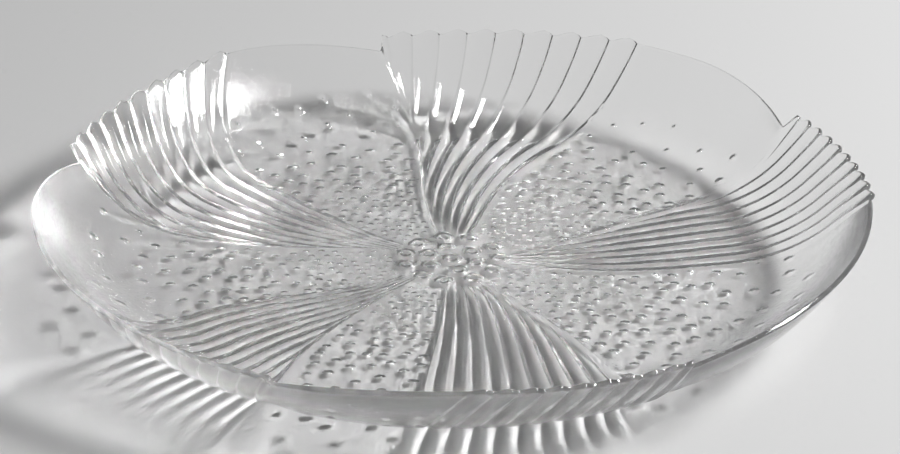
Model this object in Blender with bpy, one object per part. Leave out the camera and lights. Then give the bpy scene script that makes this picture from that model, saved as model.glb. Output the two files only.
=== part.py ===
"""Salad plate pressed in one piece from clear glass.

Five petals turn clockwise round the plate. Each petal is a fan of flutes followed by a plain panel, and
the next fan overlaps the end of the panel, which leaves a notch in the rim. The upper face is smooth: the
flutes and the grooves between them are on the underside, and they end as lobes in the rim.

Metres, +Z up. The origin is the centre of the flat underside that the plate stands on.
"""

import math

import bmesh
import bpy
import numpy as np

# Driving dimensions
RIM_RADIUS = 0.1005
FLOOR_RADIUS = 0.0688
BEND_RADIUS = 0.030
WALL_ANGLE = math.radians(46.5)
FLOOR_THICKNESS = 0.0045
RIM_THICKNESS = 0.0020
CENTRE_RADIUS = 0.0135
FLUTE_DEPTH = 0.0008
LOBE_HEIGHT = 0.0008
FAN_INSET = 0.0020
NOTCH_DEPTH = 0.0045
NOTCH_REACH = 0.040

# Petals, clockwise from the left: (start, end, flutes) of each fan at four stations from the rim inwards:
# at the rim, in the bend, half way over the floor and at the tip near the centre. The start and the end are
# in degrees from +X. The flutes are those left at a station, as the first ones run into the fan's start.
FANS = (
    ((166, 126, 10), (168, 136, 8.5), (172, 142, 7.0), (164, 148, 4.5)),
    ((104, 60, 10), (99, 64, 8.0), (100, 71, 6.5), (106, 71, 5.0)),
    ((28, -5, 10), (27, -1, 8.5), (25, -7, 7.0), (14, -12, 5.0)),
    ((-56, -87, 10), (-58, -94, 10), (-55, -95, 8.8), (-58, -94, 5.5)),
    ((-110, -142, 10), (-120, -151, 9.4), (-127, -154, 7.0), (-130, -143, 4.0)),
)
FLUTES = 10
FEWEST_FLUTES = 3
GROOVE_STEEPNESS = 3.0
DEPTH_PER_WIDTH = 0.20
# Shares of a fan's width: how softly flutes run together, and what is kept for those that have
FLUTE_MERGE = 0.10
FLUTE_SPARE = 0.06

# Shares of a panel's width: the shoulder beside the last groove, and the dip below the next fan
PANEL_SHOULDER = 0.07
PANEL_DIP = 0.30
# Share of its first flute over which a fan's rim climbs out of the notch
NOTCH_CLIMB = 0.5

# Facets
FLUTE_FACETS = (0.0, 0.22, 0.78)
PANEL_FACETS = 12
BEND_STEPS = 4
FLOOR_STEPS = 5
WALL_STEPS = 2
RIM_STEPS = 3
SEAM_GAP = 1e-6
SHARP_ANGLE = math.radians(25.0)

GLASS_COLOUR = (0.93, 0.94, 0.94, 1.0)
GLASS_ROUGHNESS = 0.03
GLASS_IOR = 1.5


def clear_scene():
    for old in list(bpy.data.objects):
        bpy.data.objects.remove(old)


def smooth_step(share):
    share = min(max(share, 0.0), 1.0)
    return share * share * (3.0 - 2.0 * share)


def slope_at(radius):
    """Slope of the upper face: level floor, round bend, straight wall."""
    reach = max(radius - FLOOR_RADIUS, 0.0) / BEND_RADIUS
    return math.asin(min(reach, math.sin(WALL_ANGLE)))


def height_at(radius):
    """Height of the upper face."""
    slope = slope_at(radius)
    rise = BEND_RADIUS * (1.0 - math.cos(slope))
    straight = radius - FLOOR_RADIUS - BEND_RADIUS * math.sin(slope)
    return FLOOR_THICKNESS + rise + max(straight, 0.0) * math.tan(slope)


def thickness_at(radius):
    """The wall thins evenly from the floor to the rim."""
    up_wall = (radius - FLOOR_RADIUS) / (RIM_RADIUS - FLOOR_RADIUS)
    share = min(max(up_wall, 0.0), 1.0)
    return FLOOR_THICKNESS + (RIM_THICKNESS - FLOOR_THICKNESS) * share


def station_radii():
    """Where the four stations of FANS are, from the rim inwards."""
    wall_foot = FLOOR_RADIUS + BEND_RADIUS * math.sin(WALL_ANGLE)
    bend = (FLOOR_RADIUS + wall_foot) / 2.0
    tip = 1.5 * CENTRE_RADIUS
    return RIM_RADIUS, bend, (bend + tip) / 2.0, tip


class Fan:
    """The lines that one fan follows over the radius."""

    def __init__(self, petal):
        self.radii = station_radii()
        parts = zip(*FANS[petal % len(FANS)])
        self.curves = [np.polyfit(self.radii, part, len(part) - 1) for part in parts]

    def lines(self, radius):
        """Start and end in degrees and the flutes left, held level inside the tip."""
        inside = min(max(radius, self.radii[-1]), self.radii[0])
        return [float(np.polyval(curve, inside)) for curve in self.curves]

    def flute_line(self, radius, across):
        """(share, width) of a line that is that far across the fan at the rim: its share of the way from the
        fan's start to its end, and how wide a flute is there. The lines keep their distance from the end and
        bunch up where they run into the start."""
        start, end, flutes = self.lines(radius)
        left = min(max(flutes, FEWEST_FLUTES), FLUTES) / FLUTES
        place = 1.0 - (1.0 - across) / left
        low = self.bunched(1.0 - 1.0 / left)
        scale = (1.0 - FLUTE_SPARE) / (self.bunched(1.0) - low)
        share = scale * (self.bunched(place) - low) + FLUTE_SPARE * across
        crowding = (1.0 + place / math.hypot(place, FLUTE_MERGE)) / 2.0
        spread = scale * crowding / left + FLUTE_SPARE
        return share, spread * radius * math.radians(start - end) / FLUTES

    def bunched(self, place):
        return (place + math.hypot(place, FLUTE_MERGE)) / 2.0


class Column:
    """One line of the plate from its centre to its rim, along a flute or across a panel."""

    def __init__(self, petal, in_fan, share):
        self.in_fan = in_fan
        self.share = share
        self.fan = Fan(petal)
        self.next_fan = Fan(petal + 1)
        self.rim_to_notch = RIM_RADIUS * math.radians(self.panel_width(RIM_RADIUS)) * (1.0 - share)

    def panel_width(self, radius):
        """Degrees from the end of this fan, clockwise, to the start of the next."""
        return (self.fan.lines(radius)[1] - self.next_fan.lines(radius)[0]) % 360.0

    def angle(self, radius):
        start, end, _ = self.fan.lines(radius)
        if self.in_fan:
            share, _ = self.fan.flute_line(radius, self.share)
            return math.radians(start + (end - start) * share)
        return math.radians(end - self.panel_width(radius) * self.share)

    def across_flute(self):
        """Place in the flute, from 0 at one groove to 1 at the next."""
        return self.share * FLUTES % 1.0

    def rim_radius(self):
        """The fan stands in a little from the panels, in lobes, and the panel drops into the notch."""
        if not self.in_fan:
            drop = max(1.0 - self.rim_to_notch / NOTCH_REACH, 0.0)
            return RIM_RADIUS - NOTCH_DEPTH * drop ** 2
        lobe = LOBE_HEIGHT * math.sin(math.pi * self.across_flute())
        fan = RIM_RADIUS - FAN_INSET * (1.0 - self.share ** 2) + lobe
        notch = RIM_RADIUS - NOTCH_DEPTH
        return notch + (fan - notch) * smooth_step(self.share * FLUTES / NOTCH_CLIMB)

    def groove_depth(self, radius):
        """How far the underside is cut back from the crests of the flutes."""
        if radius <= CENTRE_RADIUS:
            return 0.0
        if self.in_fan:
            from_crest = abs(2.0 * self.across_flute() - 1.0)
            return self.deepest(self.fan, radius, self.share) * from_crest ** GROOVE_STEEPNESS
        shoulder = 1.0 - smooth_step(self.share / PANEL_SHOULDER)
        dip = smooth_step((self.share - 1.0 + PANEL_DIP) / PANEL_DIP)
        beside_last = self.deepest(self.fan, radius, 1.0) * shoulder
        return max(beside_last, self.deepest(self.next_fan, radius, 0.0) * dip)

    def deepest(self, fan, radius, across):
        _, flute_width = fan.flute_line(radius, across)
        return min(FLUTE_DEPTH, DEPTH_PER_WIDTH * flute_width)

    def upper_point(self, radius):
        return radius, height_at(radius), self.angle(radius)

    def under_point(self, radius):
        """The point of the underside that lies square below the upper face at this radius."""
        slope = slope_at(radius)
        glass = thickness_at(radius) - self.groove_depth(radius)
        under = height_at(radius) - glass * math.cos(slope)
        return radius + glass * math.sin(slope), under, self.angle(radius)

    def rim_points(self, radius, thickness):
        """A half round from the upper face to the underside."""
        slope = slope_at(radius)
        half = thickness / 2.0
        middle = radius + half * math.sin(slope)
        height = height_at(radius) - half * math.cos(slope)
        points = []
        for step in range(1, RIM_STEPS):
            lean = math.pi / 2.0 + slope - math.pi * step / RIM_STEPS
            points.append((middle + half * math.cos(lean), height + half * math.sin(lean), self.angle(radius)))
        return points

    def section(self):
        """(radius, height, angle) points from the top centre, round the rim, to the bottom centre."""
        edge = self.rim_radius()
        thickness = thickness_at(edge) - self.groove_depth(edge)
        rim = edge - thickness / 2.0 * (1.0 + math.sin(slope_at(edge)))
        bend_slopes = [WALL_ANGLE * step / BEND_STEPS for step in range(BEND_STEPS + 1)]
        bend = [FLOOR_RADIUS + BEND_RADIUS * math.sin(slope) for slope in bend_slopes]
        wall = list(np.linspace(bend[-1], rim, WALL_STEPS + 1)[1:])
        floor = list(np.linspace(CENTRE_RADIUS, FLOOR_RADIUS, FLOOR_STEPS + 1)[:-1])
        points = [(0.0, FLOOR_THICKNESS, 0.0)]
        points += [self.upper_point(radius) for radius in [CENTRE_RADIUS] + bend + wall]
        points += self.rim_points(rim, thickness)
        points += [self.under_point(radius) for radius in reversed(floor + bend + wall)]
        points.append((0.0, 0.0, 0.0))
        return points


def plate_columns():
    """Columns clockwise round the plate: the facets of each fan's flutes, then those of its panel."""
    columns = []
    for petal in range(len(FANS)):
        for flute in range(FLUTES):
            columns += [Column(petal, True, (flute + facet) / FLUTES) for facet in FLUTE_FACETS]
        columns += [Column(petal, False, step / PANEL_FACETS) for step in range(PANEL_FACETS)]
    return columns


def wrap_grid(sections):
    """A grid wrapped round the axis, with one section on each of its columns, closed at seam and centre."""
    shell = bmesh.new()
    around = len(sections)
    along = len(sections[0]) - 1
    bmesh.ops.create_grid(shell, x_segments=around, y_segments=along, size=1.0)
    for vert in shell.verts:
        column = round((vert.co.x + 1.0) / 2.0 * around) % around
        place = round((vert.co.y + 1.0) / 2.0 * along)
        radius, height, angle = sections[column][place]
        vert.co = (radius * math.cos(angle), radius * math.sin(angle), height)
    bmesh.ops.remove_doubles(shell, verts=shell.verts, dist=SEAM_GAP)
    bmesh.ops.triangulate(shell, faces=shell.faces)
    bmesh.ops.recalc_face_normals(shell, faces=shell.faces)
    return shell


def glass_material():
    material = bpy.data.materials.new("clear_glass")
    material.use_nodes = True
    shader = material.node_tree.nodes["Principled BSDF"]
    shader.inputs["Base Color"].default_value = GLASS_COLOUR
    shader.inputs["Roughness"].default_value = GLASS_ROUGHNESS
    shader.inputs["Metallic"].default_value = 0.0
    shader.inputs["IOR"].default_value = GLASS_IOR
    shader.inputs["Transmission Weight"].default_value = 1.0
    return material


def make_plate(collection):
    shell = wrap_grid([column.section() for column in plate_columns()])
    mesh = bpy.data.meshes.new("glass_plate")
    shell.to_mesh(mesh)
    shell.free()
    mesh.materials.append(glass_material())
    mesh.shade_smooth()
    mesh.set_sharp_from_angle(angle=SHARP_ANGLE)
    plate = bpy.data.objects.new("glass_plate", mesh)
    collection.objects.link(plate)


def main():
    clear_scene()
    collection = bpy.data.collections.new("salad_plate")
    bpy.context.scene.collection.children.link(collection)
    make_plate(collection)


main()
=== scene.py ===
"""Looks of a salad plate pressed in one piece from clear glass.

The blank of the plate, with its smooth faces and its thin rim, is a mesh laid out petal by petal. A Geometry
Nodes tree then presses the mould's relief into its underside: the grooves between the flutes of the five
fans, the dip of each panel below the next fan, the round dots on the panels and the beads in the middle. The
upper face only shows a faint trace of the grooves. Metres, +Z up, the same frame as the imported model.
"""

import math

import bmesh
import bpy
import numpy as np
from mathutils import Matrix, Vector
from mathutils.geometry import delaunay_2d_cdt


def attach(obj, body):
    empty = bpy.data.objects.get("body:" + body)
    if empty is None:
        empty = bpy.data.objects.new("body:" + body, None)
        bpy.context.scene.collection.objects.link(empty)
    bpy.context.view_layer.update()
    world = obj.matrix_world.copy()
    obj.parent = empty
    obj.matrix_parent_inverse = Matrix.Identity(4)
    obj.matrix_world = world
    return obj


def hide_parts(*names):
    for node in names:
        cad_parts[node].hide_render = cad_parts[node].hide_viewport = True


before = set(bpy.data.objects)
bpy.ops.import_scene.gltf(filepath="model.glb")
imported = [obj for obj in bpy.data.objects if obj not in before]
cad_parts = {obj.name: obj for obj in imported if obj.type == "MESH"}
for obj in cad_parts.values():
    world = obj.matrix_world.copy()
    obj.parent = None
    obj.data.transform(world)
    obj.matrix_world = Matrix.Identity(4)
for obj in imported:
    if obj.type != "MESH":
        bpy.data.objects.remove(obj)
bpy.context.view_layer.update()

MM = 0.001

# The plate's section. The wall thins towards the rim, from below, by the pinch, and the shift moves the thin
# rim out. The rim's end is round at a roundness of 1 and square at 0.
RIM_RADIUS = 100.5 * MM
FLOOR_RADIUS = 68.8 * MM
BEND_RADIUS = 30.0 * MM
WALL_ANGLE = math.radians(46.5)
FLOOR_THICKNESS = 4.5 * MM
RIM_THICKNESS = 2.0 * MM
RIM_PINCH = 0.95 * MM
RIM_SHIFT = 0.25 * MM
RIM_ROUNDNESS = 0.4
WALL_FOOT = FLOOR_RADIUS + BEND_RADIUS * math.sin(WALL_ANGLE)

# Petals, clockwise from the left: (start, end, flutes) of each fan at four stations from the rim inwards: at
# the rim, in the bend, half way over the floor and at the tip near the centre. The start and the end are in
# degrees from +X. The flutes are those left at a station, as the first ones run into the fan's start.
FANS = (
    ((166, 126, 10), (168, 136, 8.5), (172, 142, 7.0), (164, 148, 4.5)),
    ((104, 60, 10), (99, 64, 8.0), (100, 71, 6.5), (106, 71, 5.0)),
    ((28, -5, 10), (27, -1, 8.5), (25, -7, 7.0), (14, -12, 5.0)),
    ((-56, -87, 10), (-58, -94, 10), (-55, -95, 8.8), (-58, -94, 5.5)),
    ((-110, -142, 10), (-120, -151, 9.4), (-127, -154, 7.0), (-130, -143, 4.0)),
)
PETALS = len(FANS)
START, END, LEFT = 0, 1, 2
CENTRE_RADIUS = 13.5 * MM
BEND_STATION = (FLOOR_RADIUS + WALL_FOOT) / 2
TIP_STATION = 1.5 * CENTRE_RADIUS
STATIONS = (RIM_RADIUS, BEND_STATION, (BEND_STATION + TIP_STATION) / 2, TIP_STATION)

# Flutes. A groove between two of them has a gentle far side, clockwise of its line, and a steep near side. On
# the floor each side reaches over a share of the flute's width, and up the wall over a reach of its own that
# narrows towards the rim. The depth is a share of the far side's reach, and the upper face sinks by the top
# share of it. The first flutes bunch up where they run into the fan's start.
FLUTES = 10
FLOOR_SHARE = 0.465
WALL_FAR_REACH = 2.1 * MM
WALL_NEAR_REACH = 0.95 * MM
RIM_NARROWING = 0.35
FLOOR_DEPTH_PER_FAR = 0.27
WALL_DEPTH_PER_FAR = 0.30
FLOOR_CURVE = 1.15
WALL_CURVE = 1.0
TOP_SHARE = 0.12
FLUTE_MERGE = 0.10
FLUTE_SPARE = 0.06
FEWEST_FLUTES = 3.0
TIP_FADE = 2.5 * MM

# Panels: the share of one over which it dips below the next fan up the wall, and the part of that fan's first
# flute over which the dip ends
PANEL_DIP = 0.30
START_DIP = 0.5

# Fine grain: how much of it the ridges of a fan have, and how far from a groove's line it starts, as a share
# of the groove's reach
FAN_GRAIN = 0.5
GRAIN_START = 0.5

# The rim: lobes that lean clockwise, and the notch where a panel ends below the next fan
LOBE_HEIGHT = 0.9 * MM
LOBE_LEAN = 1.6
FAN_INSET = 2.0 * MM
NOTCH_DEPTH = 4.5 * MM
NOTCH_REACH = 40.0 * MM
NOTCH_CLIMB = 0.9

# Dots on the panels, further apart by the square of the radius, and ring-shaped beads in the middle
DOT_SPACING = 1.9 * MM
DOT_SPREAD = 0.00085 / MM
DOT_START = CENTRE_RADIUS + 1.5 * MM
DOT_REACH = 87.0 * MM
DOT_RADIUS = 1.5 * MM
DOT_RADIUS_SHARE = 0.34
DOT_SIZES = (0.92, 1.06)
DOT_DEPTH_SHARE = 0.43
DOT_STRENGTH = 1.0
DOT_CURVE = 1.1
DOT_LINE = 0.0
DOT_LINE_REACH = 1.0
DOT_CLOSEST = 0.88
DOT_TRIES = 30000
DOT_SEED = 7
FAN_CLEARANCE = 0.5 * MM
BEAD_RINGS = ((1, 0.0), (6, 6.2 * MM), (11, 11.6 * MM))
BEAD_START = 100.0
BEAD_STRAY = 0.12
BEAD_RADIUS = 2.15 * MM
BEAD_SIZES = (0.9, 1.08)
BEAD_DEPTH = 0.70 * MM
BEAD_LINE = 0.72
BEAD_LINE_REACH = 0.36

# What each dot or bead has, in order
RADIUS, ANGLE, SIZE, DEPTH, LINE, LINE_REACH = range(6)

# How finely the blank is laid out. The steps beside a groove's line are shares of the groove's reach, and
# those past 1 are on the ridge of a flute.
FAR_STEPS = np.array((0.0, 0.15, 0.55, 1.0, 1.06))
NEAR_STEPS = np.array((1.06, 1.0, 0.55, 0.15))
FLUTE_STEPS = len(FAR_STEPS) + len(NEAR_STEPS)
PANEL_STEPS = 28
FAN_COLUMNS = FLUTES * FLUTE_STEPS
PETAL_COLUMNS = FAN_COLUMNS + len(FAR_STEPS) + PANEL_STEPS
FLOOR_ROWS = 46
BEND_ROWS = 18
WALL_ROWS = 9
RIM_TURNS = np.radians((0, 40, 65, 80, 86, 90, 94, 100, 115, 140, 180))[:, None]
TOP_FLOOR = np.array((8.0, 20.0, 34.0, 48.0, 60.0)) * MM
TOP_BEND_ROWS = 13
FLOOR_POINT_GAP = 2.2 * MM
BEND_POINT_GAP = 1.3 * MM
DOT_RINGS = ((1.12, 12), (0.95, 12), (0.5, 10), (0.14, 6), (0.0, 1))
BEAD_RINGS_LAID = ((1.15, 16), (0.94, 16), (0.72, 16), (0.5, 12), (0.3, 8), (0.0, 1))
DOT_ROOM = DOT_RINGS[0][0]
DOT_MARGIN = 0.15 * MM
FIRST_RING = 1.5 * MM
FEWEST_RING_POINTS = 5
CENTRE_MARGIN = 0.7 * MM
BESIDE_GROOVE = 1.3
PAST_GROOVE = 1.5
CLEAR_OF_GROOVE = 2.0
INSIDE_OUTLINE = 1
PLAN_GAP = 1e-9
ANGLE_SLACK = 1e-6
SEAM_GAP = 2e-7

# Glass. The absorption is per metre of the light's way through it.
GLASS_ROUGHNESS = 0.015
GLASS_INDEX = 1.5
GLASS_ABSORPTION = 2.5
GRAIN_SCALE = 2600.0
GRAIN_HEIGHT = 0.035 * MM
WAVE_SCALE = 90.0
WAVE_HEIGHT = 0.02 * MM

# Studio: the pale table, just below the glass so that their faces don't coincide, the room's even light, and
# the window, with its place as (azimuth, elevation) in degrees and its size as (width, height)
TABLE_LEVEL = -0.6 * MM
TABLE_HALF_SIDE = 3.0
TABLE_GREY = 0.62
TABLE_ROUGHNESS = 0.7
ROOM_GREY = 0.8
ROOM_STRENGTH = 0.17
WINDOW_PLACE = (6.0, 40.0)
WINDOW_DISTANCE = 1.3
WINDOW_SIZE = (0.56, 0.27)
WINDOW_POWER = 23.5
LIGHT_BOUNCES = 32

# Picture, whose focal length is in its own pixels
PICTURE_WIDTH = 900
CAMERA_ELEVATION = math.radians(26.66)
CAMERA_TARGET = Vector((-0.5, 14.02, 4.5)) * MM
CAMERA_DISTANCE = 0.7
CAMERA_FOCAL_PIXELS = 2829.9
SENSOR_WIDTH = 36.0


class Wire:
    """A socket's value in a node tree. An operator adds the Math node for it."""

    def __init__(self, board, socket):
        self.board = board
        self.socket = socket

    def _math(self, operation, *values):
        return self.board.add("ShaderNodeMath", {"operation": operation}, dict(enumerate(values)))

    def __add__(self, other):
        return self._math("ADD", self, other)

    def __radd__(self, other):
        return self._math("ADD", other, self)

    def __sub__(self, other):
        return self._math("SUBTRACT", self, other)

    def __rsub__(self, other):
        return self._math("SUBTRACT", other, self)

    def __mul__(self, other):
        return self._math("MULTIPLY", self, other)

    def __rmul__(self, other):
        return self._math("MULTIPLY", other, self)

    def __truediv__(self, other):
        return self._math("DIVIDE", self, other)

    def __rtruediv__(self, other):
        return self._math("DIVIDE", other, self)

    def __pow__(self, other):
        return self._math("POWER", self, other)

    def __rpow__(self, other):
        return self._math("POWER", other, self)

    def __abs__(self):
        return self._math("ABSOLUTE", self)

    def at_least(self, other):
        return self._math("MAXIMUM", self, other)


class Board:
    """A node tree that nodes are added to."""

    def __init__(self, tree):
        self.tree = tree
        tree.nodes.clear()

    def add(self, kind, settings=None, sockets=None, out=0):
        node = self.tree.nodes.new(kind)
        for name, value in (settings or {}).items():
            setattr(node, name, value)
        for name, value in (sockets or {}).items():
            if isinstance(value, Wire):
                self.tree.links.new(value.socket, node.inputs[name])
            else:
                node.inputs[name].default_value = value
        return Wire(self, node.outputs[out]) if node.outputs else node


def smooth_step(share):
    share = np.clip(share, 0.0, 1.0)
    return share * share * (3.0 - 2.0 * share)


def slope_at(radius):
    return np.arcsin(np.clip((radius - FLOOR_RADIUS) / BEND_RADIUS, 0.0, math.sin(WALL_ANGLE)))


def height_at(radius):
    slope = slope_at(radius)
    up_bend = BEND_RADIUS * (1.0 - np.cos(slope))
    along_wall = np.maximum(radius - FLOOR_RADIUS - BEND_RADIUS * np.sin(slope), 0.0)
    return FLOOR_THICKNESS + up_bend + along_wall * np.tan(slope)


def thickness_at(radius):
    share = np.clip((radius - FLOOR_RADIUS) / (RIM_RADIUS - FLOOR_RADIUS), 0.0, 1.0)
    return FLOOR_THICKNESS + (RIM_THICKNESS - FLOOR_THICKNESS) * share


def up_bend_at(radius):
    return smooth_step((radius - FLOOR_RADIUS) / (WALL_FOOT - FLOOR_RADIUS))


def from_floor_to_wall(radius, on_floor, on_wall):
    return on_floor + (on_wall - on_floor) * up_bend_at(radius)


def fan_lines():
    """For each fan, the curves that its start, its end and the flutes left follow over the radius."""
    degree = len(STATIONS) - 1
    parts = (START, END, LEFT)
    return [[np.polyfit(STATIONS, [row[part] for row in fan], degree) for part in parts] for fan in FANS]


FAN_LINES = fan_lines()


def fan_line(petal, part, radius):
    return np.polyval(FAN_LINES[petal % PETALS][part], np.clip(radius, TIP_STATION, RIM_RADIUS))


def fan_width(petal, radius):
    return fan_line(petal, START, radius) - fan_line(petal, END, radius)


def panel_width(petal, radius):
    return (fan_line(petal, END, radius) - fan_line(petal + 1, START, radius)) % 360.0


def flute_line(petal, radius, across):
    """Share across a fan of a line that is that far across at the rim, and the width of a flute there. The
    lines keep their distance from the fan's end and bunch up where they run into its start."""
    left = np.clip(fan_line(petal, LEFT, radius), FEWEST_FLUTES, FLUTES) / FLUTES

    def bunched(place):
        return (place + np.sqrt(place**2 + FLUTE_MERGE**2)) / 2

    place = 1.0 - (1.0 - across) / left
    low = bunched(1.0 - 1.0 / left)
    scale = (1.0 - FLUTE_SPARE) / (bunched(1.0) - low)
    share = scale * (bunched(place) - low) + FLUTE_SPARE * across
    spread = scale * (1.0 + place / np.sqrt(place**2 + FLUTE_MERGE**2)) / (2.0 * left) + FLUTE_SPARE
    return share, spread * radius * np.radians(fan_width(petal, radius)) / FLUTES


def groove_reach(petal, radius, across, on_wall):
    """How far a groove reaches from its line, that far across a fan: on the floor the flutes are roofs with
    hardly a flat ridge, and up the wall the grooves between them narrow to that reach."""
    on_floor = FLOOR_SHARE * flute_line(petal, radius, across)[1]
    up_wall = np.clip((radius - WALL_FOOT) / (RIM_RADIUS - WALL_FOOT), 0.0, 1.0)
    on_wall = np.minimum(on_wall * (1.0 - RIM_NARROWING * up_wall), on_floor)
    return from_floor_to_wall(radius, on_floor, on_wall)


def far_reach(petal, radius, across):
    """How far a groove reaches clockwise from its line, on its gentle side."""
    return groove_reach(petal, radius, across, WALL_FAR_REACH)


def near_reach(petal, radius, across):
    """How far a groove reaches the other way, on its steep side."""
    return groove_reach(petal, radius, across, WALL_NEAR_REACH)


def groove_room(petal, radius, across):
    """Depth of a groove at its line, that far across a fan."""
    fade = smooth_step((radius - CENTRE_RADIUS) / TIP_FADE)
    per_far = from_floor_to_wall(radius, FLOOR_DEPTH_PER_FAR, WALL_DEPTH_PER_FAR)
    return per_far * far_reach(petal, radius, across) * fade


def side_curve(radius):
    """How the side of a groove rises: slightly curved over the floor, straight up the wall."""
    return from_floor_to_wall(radius, FLOOR_CURVE, WALL_CURVE)


class Relief:
    """What the mould does at each point of the blank: how far from a groove's line the point is, as a share
    of the groove's reach, how the groove's side curves, how deep the groove is there, how deep the glass lies
    where a panel dips below the next fan, and how much of the fine grain it has."""

    NAMES = ("from_line", "curve", "groove_room", "dip_depth", "grain")

    def __init__(self, *values):
        for name, value in zip(self.NAMES, values):
            setattr(self, name, value)


def fan_across(petal, radius):
    """How far across a fan its columns are, and how far from a groove's line as a share of the groove's
    reach: on each flute the far side of one groove, two columns on the ridge, at the thirds of what is left
    between the grooves, and the near side of the next groove."""
    from_line = np.tile(np.concatenate([FAR_STEPS, NEAR_STEPS]), FLUTES)
    far = np.tile(np.arange(FLUTE_STEPS) < len(FAR_STEPS), FLUTES)
    line = np.repeat(np.arange(FLUTES), FLUTE_STEPS) / FLUTES
    after = line + 1.0 / FLUTES
    far_share = far_reach(petal, radius, line) / flute_line(petal, radius, line)[1] / FLUTES
    near_share = near_reach(petal, radius, after) / flute_line(petal, radius, after)[1] / FLUTES
    ridge = (from_line > 1.0) * (1.0 / FLUTES - far_share - near_share) / 3
    steps = np.minimum(from_line, 1.0)
    across = np.where(far, line + far_share * steps + ridge, after - near_share * steps - ridge)
    return across, from_line + 0.0 * radius


def petal_columns(petal, radius):
    """Angle and relief of each column of a petal, fan first. The radii are rows by columns."""
    in_fan, in_panel = radius[:, :FAN_COLUMNS], radius[:, FAN_COLUMNS:]
    across, from_line = fan_across(petal, in_fan)
    fan_share, _ = flute_line(petal, in_fan, across)
    fan_angle = fan_line(petal, START, in_fan) - fan_width(petal, in_fan) * fan_share
    share, reach = panel_shares(petal, in_panel)
    panel_angle = fan_line(petal, END, in_panel) - panel_width(petal, in_panel) * share
    full_room = groove_room(petal, in_fan, 1.0)
    from_start = fan_share * in_fan * np.radians(fan_width(petal, in_fan))
    climb = 1.0 - smooth_step(from_start / (START_DIP * flute_line(petal, in_fan, 1.0)[1]))
    fan = (
        from_line,
        side_curve(in_fan),
        groove_room(petal, in_fan, np.round(across * FLUTES) / FLUTES),
        full_room * climb,
        FAN_GRAIN * smooth_step((from_line - GRAIN_START) / (1.0 - GRAIN_START)),
    )
    panel = panel_relief(petal, in_panel, share, reach)
    relief = [np.concatenate(pair, axis=1) for pair in zip(fan, panel)]
    return [np.concatenate([fan_angle, panel_angle], axis=1)] + relief


def panel_shares(petal, radius):
    """Shares across a panel of its columns, and the share that a groove reaches over: the far side of the
    last groove, then even steps up to the next fan."""
    reach = far_reach(petal, radius, 1.0) / (radius * np.radians(panel_width(petal, radius)))
    flank = reach[:, : len(FAR_STEPS)] * FAR_STEPS
    even = PAST_GROOVE * reach[:, len(FAR_STEPS) :]
    even = even + (1.0 - even) * np.arange(PANEL_STEPS) / PANEL_STEPS
    return np.concatenate([flank, even], axis=1), reach


def panel_relief(petal, radius, share, reach):
    """Relief at points of a panel, from their shares across it."""
    dip_share = reach + (PANEL_DIP - reach) * up_bend_at(radius)
    dip = smooth_step((share - 1.0 + dip_share) / dip_share)
    return (
        np.minimum(share / reach, CLEAR_OF_GROOVE),
        side_curve(radius),
        groove_room(petal, radius, 1.0),
        groove_room(petal + 1, radius, 1.0) * dip,
        smooth_step(share / reach - GRAIN_START),
    )


def lay_columns(radius):
    """Angle and relief of every column of the plate. The radii are rows by columns."""
    petals = [
        petal_columns(petal, radius[:, petal * PETAL_COLUMNS : (petal + 1) * PETAL_COLUMNS])
        for petal in range(PETALS)
    ]
    angle, *relief = [np.concatenate(part, axis=1) for part in zip(*petals)]
    return angle, Relief(*relief)


def rim_edge(petal):
    """Outermost radius of each column of a petal."""
    at_rim = np.full((1, PETAL_COLUMNS - FAN_COLUMNS), RIM_RADIUS)
    panel_share = panel_shares(petal, at_rim)[0][0]
    to_notch = RIM_RADIUS * math.radians(panel_width(petal, RIM_RADIUS)) * (1.0 - panel_share)
    panel = RIM_RADIUS - NOTCH_DEPTH * np.maximum(1.0 - to_notch / NOTCH_REACH, 0.0) ** 2
    across = fan_across(petal, np.full((1, FAN_COLUMNS), RIM_RADIUS))[0][0]
    lobe = LOBE_HEIGHT * np.sin(np.pi * (across * FLUTES % 1.0) ** LOBE_LEAN)
    fan = RIM_RADIUS - FAN_INSET * (1.0 - across**2) + lobe
    notch = RIM_RADIUS - NOTCH_DEPTH
    fan = notch + (fan - notch) * smooth_step(across * FLUTES / NOTCH_CLIMB)
    return np.concatenate([fan, panel])


def on_circle(out, angle, height):
    turn = np.radians(angle)
    return np.stack([out * np.cos(turn), out * np.sin(turn), height + 0.0 * turn], axis=-1)


def plan(radius, angle):
    turn = np.radians(angle)
    return np.stack([radius * np.cos(turn), radius * np.sin(turn)], axis=-1)


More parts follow.
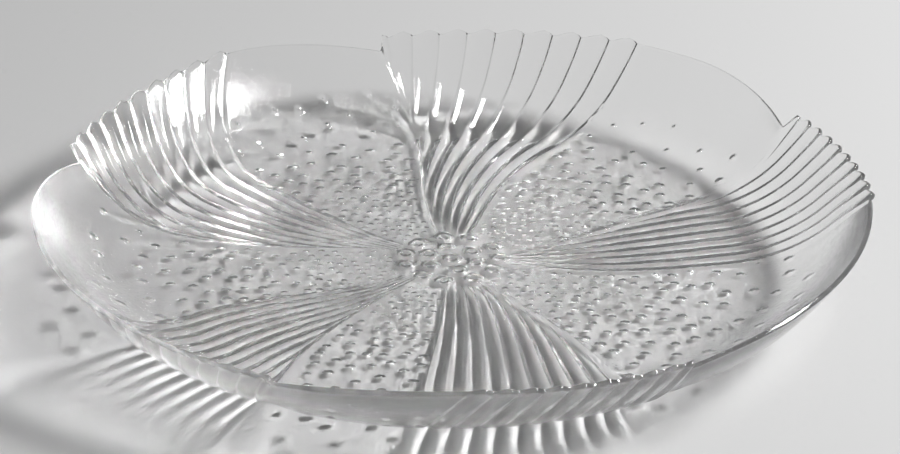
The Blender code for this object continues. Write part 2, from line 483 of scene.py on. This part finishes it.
class Blank:
    """Collects the points and faces of the blank before the relief is pressed."""

    VECTORS = ("place", "into_glass")
    VALUES = Relief.NAMES

    def __init__(self):
        self.points = {name: [] for name in self.VECTORS + self.VALUES}
        self.faces = []
        self.count = 0

    def take(self, place, into_glass=0.0, relief=None):
        """Adds points and returns the number of the first."""
        shape = place.shape[:-1]
        self.points["place"].append(place.reshape(-1, 3))
        self.points["into_glass"].append(np.broadcast_to(into_glass, place.shape).reshape(-1, 3))
        for name in self.VALUES:
            value = getattr(relief, name) if relief else 0.0
            self.points[name].append(np.broadcast_to(value, shape).ravel())
        first = self.count
        self.count += place.size // 3
        return first

    def ring_grid(self, first, rows, columns):
        """Faces between rows of points that each run all the way round."""
        for row in range(rows - 1):
            here = first + row * columns
            for column in range(columns):
                own = here + column
                beside = here + (column + 1) % columns
                self.faces.append((own, beside, beside + columns, own + columns))

    def strip_grid(self, first, rows, columns):
        """Faces between rows of points that end at a first and a last column."""
        for row in range(rows - 1):
            for column in range(columns - 1):
                here = first + row * columns + column
                self.faces.append((here, here + 1, here + columns + 1, here + columns))

    def mesh(self, name):
        """The blank as one closed mesh that carries the relief as attributes."""
        values = {key: np.concatenate(parts) for key, parts in self.points.items()}
        mesh = bpy.data.meshes.new(name)
        mesh.from_pydata(values["place"].tolist(), [], self.faces)
        into = mesh.attributes.new("into_glass", "FLOAT_VECTOR", "POINT")
        into.data.foreach_set("vector", values["into_glass"].ravel().astype(np.float32))
        for key in self.VALUES:
            layer = mesh.attributes.new(key, "FLOAT", "POINT")
            layer.data.foreach_set("value", values[key].astype(np.float32))
        work = bmesh.new()
        work.from_mesh(mesh)
        bmesh.ops.remove_doubles(work, verts=work.verts, dist=SEAM_GAP)
        bmesh.ops.triangulate(work, faces=work.faces)
        bmesh.ops.recalc_face_normals(work, faces=work.faces)
        open_edges = sum(not edge.is_manifold for edge in work.edges)
        if open_edges:
            print("open edges in the blank:", open_edges)
        for face in work.faces:
            face.smooth = True
        work.to_mesh(mesh)
        work.free()
        return mesh


def under_place(radius, angle, pinch=0.0):
    """Points of the underside, a thickness square below the upper face, and the way from each into the
    glass."""
    slope = slope_at(radius)
    glass = thickness_at(radius) - pinch
    place = on_circle(radius + glass * np.sin(slope), angle, height_at(radius) - glass * np.cos(slope))
    return place, on_circle(-np.sin(slope), angle, np.cos(slope))


def lay_rim_and_wall(blank):
    """The upper face, the rim and the underside of the wall, in columns that run right round."""
    edge = np.concatenate([rim_edge(petal) for petal in range(PETALS)])
    shoulder = edge - thickness_at(edge) / 2 * (1.0 + math.sin(WALL_ANGLE)) + RIM_SHIFT
    climb = np.linspace(0.0, 1.0, WALL_ROWS + 1)[:, None]
    wall = WALL_FOOT + (shoulder - WALL_FOOT) * climb
    lay_upper_face(blank, wall)
    lay_rim(blank, shoulder)
    angle, relief = lay_columns(wall)
    first = blank.take(*under_place(wall, angle, RIM_PINCH * climb**2), relief)
    blank.ring_grid(first, *wall.shape)


def lay_upper_face(blank, wall):
    """The face to eat from, from the middle to the top of the wall."""
    columns = wall.shape[1]
    up_bend = np.linspace(FLOOR_RADIUS, WALL_FOOT, TOP_BEND_ROWS + 1)
    inner = np.repeat(np.concatenate([TOP_FLOOR, up_bend])[:, None], columns, axis=1)
    radius = np.concatenate([inner, wall[1:]])
    angle, relief = lay_columns(radius)
    slope = slope_at(radius)
    into = on_circle(TOP_SHARE * np.sin(slope), angle, -TOP_SHARE * np.cos(slope))
    first = blank.take(on_circle(radius, angle, height_at(radius)), into, relief)
    blank.ring_grid(first, *radius.shape)
    middle = blank.take(np.array([[0.0, 0.0, FLOOR_THICKNESS]]))
    for column in range(columns):
        blank.faces.append((middle, first + (column + 1) % columns, first + column))


def lay_rim(blank, shoulder):
    """The thin rim, turned over a nearly square end from the upper face to the underside."""
    radius = np.repeat(shoulder[None, :], len(RIM_TURNS), axis=0)
    angle, relief = lay_columns(radius)
    slope = slope_at(radius)
    glass = (thickness_at(radius) - RIM_PINCH) / 2
    over = np.sign(np.cos(RIM_TURNS)) * np.abs(np.cos(RIM_TURNS)) ** RIM_ROUNDNESS
    inward = over * glass - glass
    along = np.abs(np.sin(RIM_TURNS)) ** RIM_ROUNDNESS * glass
    out = radius - np.sin(slope) * inward + np.cos(slope) * along
    up = height_at(radius) + np.cos(slope) * inward + np.sin(slope) * along
    share = (1.0 - over)[..., None] / 2 * (1.0 + TOP_SHARE) - TOP_SHARE
    into = on_circle(-np.sin(slope), angle, np.cos(slope)) * share
    first = blank.take(on_circle(out, angle, up), into, relief)
    blank.ring_grid(first, *radius.shape)


def fan_radii():
    """Radii of a fan's rows, from its tip to the foot of the wall."""
    over_floor = np.linspace(CENTRE_RADIUS, FLOOR_RADIUS, FLOOR_ROWS + 1)
    up_bend = np.linspace(FLOOR_RADIUS, WALL_FOOT, BEND_ROWS + 1)
    return np.concatenate([over_floor, up_bend[1:]])


def lay_fans(blank):
    """The fluted underside of each fan, from its tip to the foot of the wall."""
    radii = fan_radii()
    for petal in range(PETALS):
        radius = np.repeat(radii[:, None], PETAL_COLUMNS, axis=1)
        angle, *relief = [part[:, : FAN_COLUMNS + 1] for part in petal_columns(petal, radius)]
        first = blank.take(*under_place(radius[:, : FAN_COLUMNS + 1], angle), Relief(*relief))
        blank.strip_grid(first, len(radii), FAN_COLUMNS + 1)


def panel_room(radius, angle):
    """For points on the floor: the petal whose panel each is on, or -1, its share across that and its
    distance from the panel's edges."""
    found = np.full(radius.shape, -1)
    share_found = np.zeros(radius.shape)
    gap = np.full(radius.shape, -1.0)
    for petal in range(PETALS):
        wide = panel_width(petal, radius)
        share = ((fan_line(petal, END, radius) - angle + ANGLE_SLACK) % 360.0) / wide
        inside = share <= 1.0 + ANGLE_SLACK
        found[inside] = petal
        share_found[inside] = share[inside]
        reach = radius * np.radians(wide)
        gap[inside] = (reach * np.minimum(share, 1.0 - share))[inside]
    return found, share_found, gap


def dot_spacing(radius):
    return DOT_SPACING + DOT_SPREAD * radius**2


def dot_layout():
    """Radius, angle, size, depth, line and line's reach of each bead and dot. A bead is a ring-shaped line.
    The dots are strewn over the panels, each no closer to another than the spacing there allows."""
    chance = np.random.default_rng(DOT_SEED)
    rows = []
    for count, ring in BEAD_RINGS:
        for bead in range(count):
            angle = BEAD_START + 360.0 * (bead + chance.uniform(-BEAD_STRAY, BEAD_STRAY)) / count
            wide = BEAD_RADIUS * chance.uniform(*BEAD_SIZES)
            rows.append((ring, angle, wide, BEAD_DEPTH, BEAD_LINE, BEAD_LINE_REACH))
    places = [plan(row[RADIUS], row[ANGLE]) for row in rows]
    rooms = [DOT_ROOM * row[SIZE] for row in rows]
    radius = chance.uniform(DOT_START, DOT_REACH, DOT_TRIES)
    angle = chance.uniform(0.0, 360.0, DOT_TRIES)
    largest = np.minimum(DOT_RADIUS, DOT_RADIUS_SHARE * dot_spacing(radius))
    size = largest * chance.uniform(*DOT_SIZES, DOT_TRIES)
    petal, _, gap = panel_room(radius, angle)
    fits = (petal >= 0) & (gap > DOT_ROOM * size + FAN_CLEARANCE)
    for row in np.flatnonzero(fits):
        place = plan(radius[row], angle[row])
        room = DOT_CLOSEST * dot_spacing(radius[row]) / 2
        apart = np.hypot(*(np.array(places) - place).T)
        if (apart > np.array(rooms) + room).all():
            depth = DOT_DEPTH_SHARE * size[row]
            rows.append((radius[row], angle[row], size[row], depth, DOT_LINE, DOT_LINE_REACH))
            places.append(place)
            rooms.append(room)
    return np.array(rows)


def field_outline():
    """Plan of the line round the panels and the centre, along the fans' edges and tips and the foot of the
    wall."""
    radii = fan_radii()
    parts = []
    for petal in range(PETALS):
        parts.append(plan(radii[::-1], fan_line(petal, START, radii[::-1])))
        foot = np.full((1, PETAL_COLUMNS), WALL_FOOT)
        tip = np.full((1, PETAL_COLUMNS), CENTRE_RADIUS)
        tip_angle = petal_columns(petal, tip)[0][0, 1:FAN_COLUMNS]
        parts.append(plan(CENTRE_RADIUS, tip_angle))
        parts.append(plan(radii, fan_line(petal, END, radii)))
        foot_angle = petal_columns(petal, foot)[0][0, FAN_COLUMNS + 1 :]
        parts.append(plan(WALL_FOOT, foot_angle))
    return np.concatenate(parts)


def points_in_dots(dots):
    """Plan points in rings round the middle of each dot, then of each bead. Rings of 6 or 10 points are
    turned by half a step."""
    parts = []
    centres = plan(dots[:, RADIUS], dots[:, ANGLE])
    beads = dots[:, LINE] > 0.0
    for rings, chosen in ((DOT_RINGS, ~beads), (BEAD_RINGS_LAID, beads)):
        for share, count in rings:
            for step in range(count):
                turn = 2.0 * math.pi * (step + 0.5 * (count % 4 == 2)) / count
                way = np.array((math.cos(turn), math.sin(turn)))
                parts.append(centres[chosen] + share * dots[chosen, SIZE : SIZE + 1] * way)
    return np.concatenate(parts)


def points_beside_fans():
    """Plan points on the far side of each fan's last groove."""
    radii = fan_radii()[1:-1]
    parts = []
    for petal in range(PETALS):
        radius = np.repeat(radii[:, None], PETAL_COLUMNS, axis=1)
        angle = petal_columns(petal, radius)[0][:, FAN_COLUMNS + 1 : FAN_COLUMNS + len(FAR_STEPS) + 1]
        parts.append(plan(radii[:, None], angle).reshape(-1, 2))
    return np.concatenate(parts)


def points_between():
    """Plan points spread evenly in rings over the centre and over the panels, away from the fans."""
    rings = list(np.arange(FIRST_RING, FLOOR_RADIUS, FLOOR_POINT_GAP))
    rings += list(np.arange(FLOOR_RADIUS, WALL_FOOT - BEND_POINT_GAP / 2, BEND_POINT_GAP))
    parts = []
    for number, ring in enumerate(rings):
        gap = FLOOR_POINT_GAP if ring < FLOOR_RADIUS else BEND_POINT_GAP
        count = max(int(2.0 * math.pi * ring / gap), FEWEST_RING_POINTS)
        angle = 360.0 * (np.arange(count) + 0.5 * (number % 2)) / count
        radius = np.full(count, ring)
        petal, share, room = panel_room(radius, angle)
        beside = np.zeros(count)
        for own in range(PETALS):
            beside[petal == own] = far_reach(own, ring, 1.0) * BESIDE_GROOVE
        open_floor = (petal >= 0) & (room > np.maximum(0.5 * gap, beside * (share < 0.5)))
        if ring < CENTRE_RADIUS - CENTRE_MARGIN:
            open_floor[:] = True
        parts.append(plan(radius, angle)[open_floor])
    return np.concatenate(parts)


def field_points(dots):
    """Plan points inside that outline. Those that aren't a dot's own keep clear of the dots."""
    spread = np.concatenate([points_beside_fans(), points_between()])
    away = np.ones(len(spread), bool)
    for centre, size in zip(plan(dots[:, RADIUS], dots[:, ANGLE]), dots[:, SIZE]):
        away &= np.hypot(*(spread - centre).T) > DOT_ROOM * size + DOT_MARGIN
    return np.concatenate([points_in_dots(dots), spread[away]])


def lay_field(blank, dots):
    """The underside of the panels and the centre, up to the foot of the wall."""
    outline = field_outline()
    points = np.concatenate([outline, field_points(dots)])
    line = [(step, (step + 1) % len(outline)) for step in range(len(outline))]
    points = [Vector(point) for point in points]
    corners, _, triangles, *_ = delaunay_2d_cdt(points, line, [], INSIDE_OUTLINE, PLAN_GAP)
    corners = np.array([tuple(corner) for corner in corners])
    radius = np.hypot(corners[:, 0], corners[:, 1])
    angle = np.degrees(np.arctan2(corners[:, 1], corners[:, 0]))
    petal, share, _ = panel_room(radius, angle)
    values = np.zeros((len(Relief.NAMES), len(radius)))
    values[Relief.NAMES.index("from_line")] = CLEAR_OF_GROOVE
    for own in range(PETALS):
        mine = petal == own
        out = radius[mine]
        reach = far_reach(own, out, 1.0) / (out * np.radians(panel_width(own, out)))
        values[:, mine] = panel_relief(own, out, share[mine], reach)
    first = blank.take(*under_place(radius, angle), Relief(*values))
    blank.faces.extend(tuple(first + corner for corner in triangle) for triangle in triangles)


def dot_centres(dots):
    """A mesh of points at the middles of the dots, with their sizes, for the tree to read."""
    mesh = bpy.data.meshes.new("dot_centres")
    place, _ = under_place(dots[:, RADIUS], dots[:, ANGLE])
    mesh.from_pydata(place.tolist(), [], [])
    layers = ((SIZE, "dot_radius"), (DEPTH, "dot_depth"), (LINE, "dot_line"), (LINE_REACH, "dot_reach"))
    for column, name in layers:
        layer = mesh.attributes.new(name, "FLOAT", "POINT")
        layer.data.foreach_set("value", dots[:, column].astype(np.float32))
    centres = bpy.data.objects.new("dot_centres", mesh)
    bpy.context.scene.collection.objects.link(centres)
    return centres


def relief_tree():
    """The mould: sinks grooves, dips, dots and beads into a blank, each point on its way into the glass."""
    tree = bpy.data.node_groups.new("press_relief", "GeometryNodeTree")
    for name, in_out, kind in (
        ("Blank", "INPUT", "Geometry"),
        ("Dots", "INPUT", "Object"),
        ("Dot Depth", "INPUT", "Float"),
        ("Dot Curve", "INPUT", "Float"),
        ("Glass", "INPUT", "Material"),
        ("Plate", "OUTPUT", "Geometry"),
    ):
        tree.interface.new_socket(name=name, in_out=in_out, socket_type="NodeSocket" + kind)
    board = Board(tree)
    group = board.add("NodeGroupInput").socket.node
    given = {socket.name: Wire(board, socket) for socket in group.outputs if socket.name}

    def stored(name, kind="FLOAT"):
        return board.add("GeometryNodeInputNamedAttribute", {"data_type": kind}, {"Name": name}, "Attribute")

    dots = board.add("GeometryNodeObjectInfo", {}, {"Object": given["Dots"]}, "Geometry")
    nearest = board.add("GeometryNodeSampleNearest", {"domain": "POINT"}, {"Geometry": dots})

    def of_dot(field, kind):
        settings = {"data_type": kind, "domain": "POINT"}
        sockets = {"Geometry": dots, "Value": field, "Index": nearest}
        return board.add("GeometryNodeSampleIndex", settings, sockets)

    place = board.add("GeometryNodeInputPosition")
    centre = of_dot(place, "FLOAT_VECTOR")
    apart = board.add("ShaderNodeVectorMath", {"operation": "DISTANCE"}, {0: place, 1: centre}, "Value")
    share = apart / of_dot(stored("dot_radius"), "FLOAT")
    from_line = (share - of_dot(stored("dot_line"), "FLOAT")) / of_dot(stored("dot_reach"), "FLOAT")
    hollow = (1.0 - abs(from_line)).at_least(0.0) ** given["Dot Curve"]
    dot = hollow * of_dot(stored("dot_depth"), "FLOAT")

    groove = (1.0 - stored("from_line")).at_least(0.0) ** stored("curve") * stored("groove_room")
    depth = groove.at_least(stored("dip_depth")) + dot * given["Dot Depth"]
    shift = board.add(
        "ShaderNodeVectorMath",
        {"operation": "SCALE"},
        {0: stored("into_glass", "FLOAT_VECTOR"), "Scale": depth},
    )
    pressed = board.add("GeometryNodeSetPosition", {}, {"Geometry": given["Blank"], "Offset": shift})
    whole = board.add("GeometryNodeRealizeInstances", {}, {"Geometry": pressed})
    glazed = board.add("GeometryNodeSetMaterial", {}, {"Geometry": whole, "Material": given["Glass"]})
    board.add("NodeGroupOutput", {}, {"Plate": glazed})
    return tree


def press_plate(glass):
    """The finished plate as one plain mesh at the origin."""
    dots = dot_layout()
    blank = Blank()
    lay_rim_and_wall(blank)
    lay_fans(blank)
    lay_field(blank, dots)
    plate = bpy.data.objects.new("pressed_plate", blank.mesh("plate_blank"))
    bpy.context.scene.collection.objects.link(plate)
    centres = dot_centres(dots)
    mould = plate.modifiers.new("press_relief", "NODES")
    mould.node_group = relief_tree()
    values = {
        "Dots": centres,
        "Dot Depth": DOT_STRENGTH,
        "Dot Curve": DOT_CURVE,
        "Glass": glass,
    }
    for socket in mould.node_group.interface.items_tree:
        if socket.name in values:
            mould[socket.identifier] = values[socket.name]
    graph = bpy.context.evaluated_depsgraph_get()
    pressed = bpy.data.meshes.new_from_object(plate.evaluated_get(graph))
    pressed.name = "pressed_plate"
    plate.modifiers.clear()
    plate.data = pressed
    bpy.data.objects.remove(centres)
    return plate


def clear_glass():
    """Clear pressed glass: fire-polished, faintly wavy, with a fine grain on the underside of the panels."""
    material = bpy.data.materials.new("clear_glass")
    material.use_nodes = True
    board = Board(material.node_tree)
    place = board.add("ShaderNodeTexCoord", {}, {}, "Object")
    grain = board.add("ShaderNodeTexNoise", {}, {"Vector": place, "Scale": GRAIN_SCALE, "Detail": 1.0}, "Fac")
    wave = board.add("ShaderNodeTexNoise", {}, {"Vector": place, "Scale": WAVE_SCALE, "Detail": 0.0}, "Fac")
    mask = board.add("ShaderNodeAttribute", {"attribute_name": "grain"}, {}, "Fac")
    relief = grain * mask * GRAIN_HEIGHT + wave * WAVE_HEIGHT
    normal = board.add("ShaderNodeBump", {}, {"Height": relief, "Distance": 1.0, "Strength": 1.0})
    glass = board.add(
        "ShaderNodeBsdfPrincipled",
        {},
        {
            "Base Color": (1.0, 1.0, 1.0, 1.0),
            "Roughness": GLASS_ROUGHNESS,
            "IOR": GLASS_INDEX,
            "Transmission Weight": 1.0,
            "Normal": normal,
        },
    )
    depth = board.add(
        "ShaderNodeVolumeAbsorption",
        {},
        {"Color": (0.0, 0.0, 0.0, 1.0), "Density": GLASS_ABSORPTION},
    )
    board.add("ShaderNodeOutputMaterial", {}, {"Surface": glass, "Volume": depth})
    return material


def grey(level):
    return (level, level, level, 1.0)


def pale_floor():
    """The pale table below the plate, as part of the stage."""
    material = bpy.data.materials.new("pale_floor")
    material.use_nodes = True
    board = Board(material.node_tree)
    paper = board.add(
        "ShaderNodeBsdfPrincipled",
        {},
        {"Base Color": grey(TABLE_GREY), "Roughness": TABLE_ROUGHNESS},
    )
    board.add("ShaderNodeOutputMaterial", {}, {"Surface": paper})
    mesh = bpy.data.meshes.new("floor")
    quarters = ((-1, -1), (1, -1), (1, 1), (-1, 1))
    corners = [(x * TABLE_HALF_SIDE, y * TABLE_HALF_SIDE, TABLE_LEVEL) for x, y in quarters]
    mesh.from_pydata(corners, [], [(0, 1, 2, 3)])
    mesh.materials.append(material)
    floor = bpy.data.objects.new("floor", mesh)
    bpy.context.scene.collection.objects.link(floor)


def hang_window():
    """A wide, low window on the right, turned to the plate."""
    lamp = bpy.data.lights.new("window", "AREA")
    lamp.shape = "RECTANGLE"
    lamp.size, lamp.size_y = WINDOW_SIZE
    lamp.energy = WINDOW_POWER
    turn, rise = (math.radians(part) for part in WINDOW_PLACE)
    way = Vector((math.cos(turn) * math.cos(rise), math.sin(turn) * math.cos(rise), math.sin(rise)))
    window = bpy.data.objects.new("window", lamp)
    window.location = way * WINDOW_DISTANCE
    window.rotation_euler = way.to_track_quat("Z", "Y").to_euler()
    bpy.context.scene.collection.objects.link(window)


def light_the_studio():
    """An even, dim room and the window."""
    world = bpy.data.worlds.new("studio")
    bpy.context.scene.world = world
    world.use_nodes = True
    board = Board(world.node_tree)
    air = board.add("ShaderNodeBackground", {}, {"Color": grey(ROOM_GREY), "Strength": ROOM_STRENGTH})
    board.add("ShaderNodeOutputWorld", {}, {"Surface": air})
    hang_window()


def set_camera():
    """The photograph's view, from the front and above."""
    data = bpy.data.cameras.new("camera")
    data.sensor_width = SENSOR_WIDTH
    data.lens = CAMERA_FOCAL_PIXELS * SENSOR_WIDTH / PICTURE_WIDTH
    camera = bpy.data.objects.new("camera", data)
    back = Vector((0.0, -math.cos(CAMERA_ELEVATION), math.sin(CAMERA_ELEVATION)))
    camera.location = CAMERA_TARGET + CAMERA_DISTANCE * back
    camera.rotation_euler = (math.pi / 2 - CAMERA_ELEVATION, 0.0, 0.0)
    bpy.context.scene.collection.objects.link(camera)
    bpy.context.scene.camera = camera


def set_light_paths():
    """Lets light run on inside the glass, and keeps the bright lines that it throws on the floor."""
    cycles = bpy.context.scene.cycles
    cycles.blur_glossy = 0.0
    cycles.sample_clamp_indirect = 0.0
    cycles.use_guiding = True
    cycles.max_bounces = LIGHT_BOUNCES
    cycles.glossy_bounces = LIGHT_BOUNCES
    cycles.transmission_bounces = LIGHT_BOUNCES


bpy.context.scene.view_settings.view_transform = "Standard"
set_light_paths()
plate = press_plate(clear_glass())
pale_floor()
light_the_studio()
set_camera()
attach(plate, "root")
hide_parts("glass_plate")
